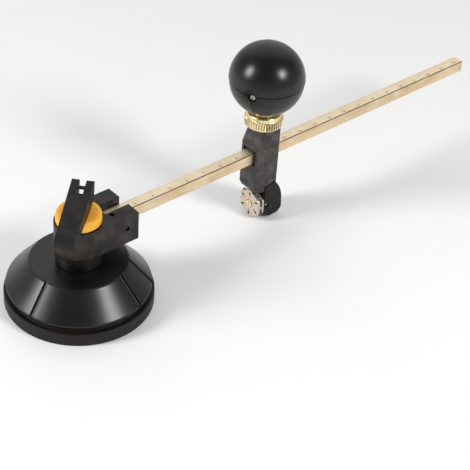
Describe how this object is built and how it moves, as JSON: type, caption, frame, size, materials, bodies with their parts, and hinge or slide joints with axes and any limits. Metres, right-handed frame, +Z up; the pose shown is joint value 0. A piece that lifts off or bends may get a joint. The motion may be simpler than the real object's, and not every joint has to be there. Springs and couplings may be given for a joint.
{
  "type": "circle cutter",
  "caption": "Suction base with a lever, swivelling square scale bar, and a sliding carriage with a ball knob, clamp screw and wheel turret.",
  "frame": {"origin": "on the surface that the cup stands on, under the middle of the tool's outline box", "axes": "+X along the scale bar from the swivel axis to the bar's free end, +Y across the bar, +Z up along the swivel axis"},
  "size_m": [0.2794, 0.068, 0.0955],
  "materials": {
    "cup_rubber": "soft black rubber",
    "gloss_black": "polished black moulding",
    "matte_black": "satin black moulding",
    "yellow_plastic": "satin yellow moulding",
    "coated_metal": "dull black coated die casting",
    "pale_brass": "drawn brass with a fine scale",
    "bright_brass": "polished turned brass",
    "bright_steel": "bright machined steel",
    "hard_metal": "ground hard metal",
    "dark_steel": "blackened steel"
  },
  "bodies": {
    "base": {"suction_cup": "cup_rubber", "cup_diaphragm": "cup_rubber", "cone_cover": "gloss_black", "neck_post": "matte_black", "neck_nut": "dark_steel", "thrust_washer": "bright_steel", "cam_seat": "yellow_plastic"},
    "stem": {"draw_stem": "bright_steel", "stem_plate": "bright_steel"},
    "lever": {"suction_lever": "matte_black", "lever_pin": "bright_steel"},
    "arm": {"swivel_hub": "coated_metal", "hub_bush": "bright_brass", "bar_pin": "dark_steel", "hub_set_screw": "dark_steel", "scale_bar": "pale_brass"},
    "carriage": {"carriage_body": "coated_metal", "foot_pin": "bright_steel", "turret_screw": "bright_brass"},
    "clamp_shoe": {"clamp_pad": "dark_steel"},
    "clamp": {"clamp_screw": "bright_brass", "knob_spindle": "bright_steel", "knob_washer": "bright_brass"},
    "knob": {"knob_lower": "gloss_black", "knob_upper": "gloss_black", "knob_screw": "bright_steel"},
    "turret": {"turret_body": "bright_steel", "wheel_axle_1": "dark_steel", "wheel_axle_2": "dark_steel", "wheel_axle_3": "dark_steel", "wheel_axle_4": "dark_steel", "wheel_axle_5": "dark_steel", "wheel_axle_6": "dark_steel"},
    "wheel_1": {"cutting_wheel_1": "hard_metal"},
    "wheel_2": {"cutting_wheel_2": "hard_metal"},
    "wheel_3": {"cutting_wheel_3": "hard_metal"},
    "wheel_4": {"cutting_wheel_4": "hard_metal"},
    "wheel_5": {"cutting_wheel_5": "hard_metal"},
    "wheel_6": {"cutting_wheel_6": "hard_metal"}
  },
  "joints": [
    {"name": "stem_lift", "type": "slide", "parent": "base", "child": "stem", "axis": [0, 0, 1], "range_m": [0, 0.00451], "deforming": ["cup_diaphragm"]},
    {"name": "lever_turn", "type": "hinge", "parent": "stem", "child": "lever", "pos_m": [-0.1057, 0, 0.0542], "axis": [-0.6691, 0.7431, 0], "range_deg": [0, 90]},
    {"name": "arm_swivel", "type": "hinge", "parent": "base", "child": "arm", "pos_m": [-0.1057, 0, 0.03705], "axis": [0, 0, 1], "continuous": true},
    {"name": "carriage_slide", "type": "slide", "parent": "arm", "child": "carriage", "axis": [1, 0, 0], "range_m": [-0.064, 0.132]},
    {"name": "clamp_travel", "type": "slide", "parent": "carriage", "child": "clamp_shoe", "axis": [0, 0, 1], "range_m": [0, 0.00422]},
    {"name": "clamp_turn", "type": "hinge", "parent": "clamp_shoe", "child": "clamp", "pos_m": [0.0011, 0, 0.0531], "axis": [0, 0, 1], "range_deg": [0, 1440]},
    {"name": "knob_spin", "type": "hinge", "parent": "clamp", "child": "knob", "pos_m": [0.0011, 0, 0.077], "axis": [0, 0, 1], "continuous": true},
    {"name": "turret_index", "type": "hinge", "parent": "carriage", "child": "turret", "pos_m": [-0.00225, 0, 0.0082], "axis": [1, 0, 0], "continuous": true},
    {"name": "wheel_spin_1", "type": "hinge", "parent": "turret", "child": "wheel_1", "pos_m": [-0.00225, 0, 0.0026], "axis": [1, 0, 0], "continuous": true},
    {"name": "wheel_spin_2", "type": "hinge", "parent": "turret", "child": "wheel_2", "pos_m": [-0.00225, 0.00485, 0.0054], "axis": [1, 0, 0], "continuous": true},
    {"name": "wheel_spin_3", "type": "hinge", "parent": "turret", "child": "wheel_3", "pos_m": [-0.00225, 0.00485, 0.011], "axis": [1, 0, 0], "continuous": true},
    {"name": "wheel_spin_4", "type": "hinge", "parent": "turret", "child": "wheel_4", "pos_m": [-0.00225, 0, 0.0138], "axis": [1, 0, 0], "continuous": true},
    {"name": "wheel_spin_5", "type": "hinge", "parent": "turret", "child": "wheel_5", "pos_m": [-0.00225, -0.00485, 0.011], "axis": [1, 0, 0], "continuous": true},
    {"name": "wheel_spin_6", "type": "hinge", "parent": "turret", "child": "wheel_6", "pos_m": [-0.00225, -0.00485, 0.0054], "axis": [1, 0, 0], "continuous": true}
  ],
  "couplings": [
    {"joint": "stem_lift", "follows": "lever_turn", "m_per_rad": 0.0028648},
    {"joint": "clamp_travel", "follows": "clamp_turn", "m_per_rad": 0.00015915}
  ]
}
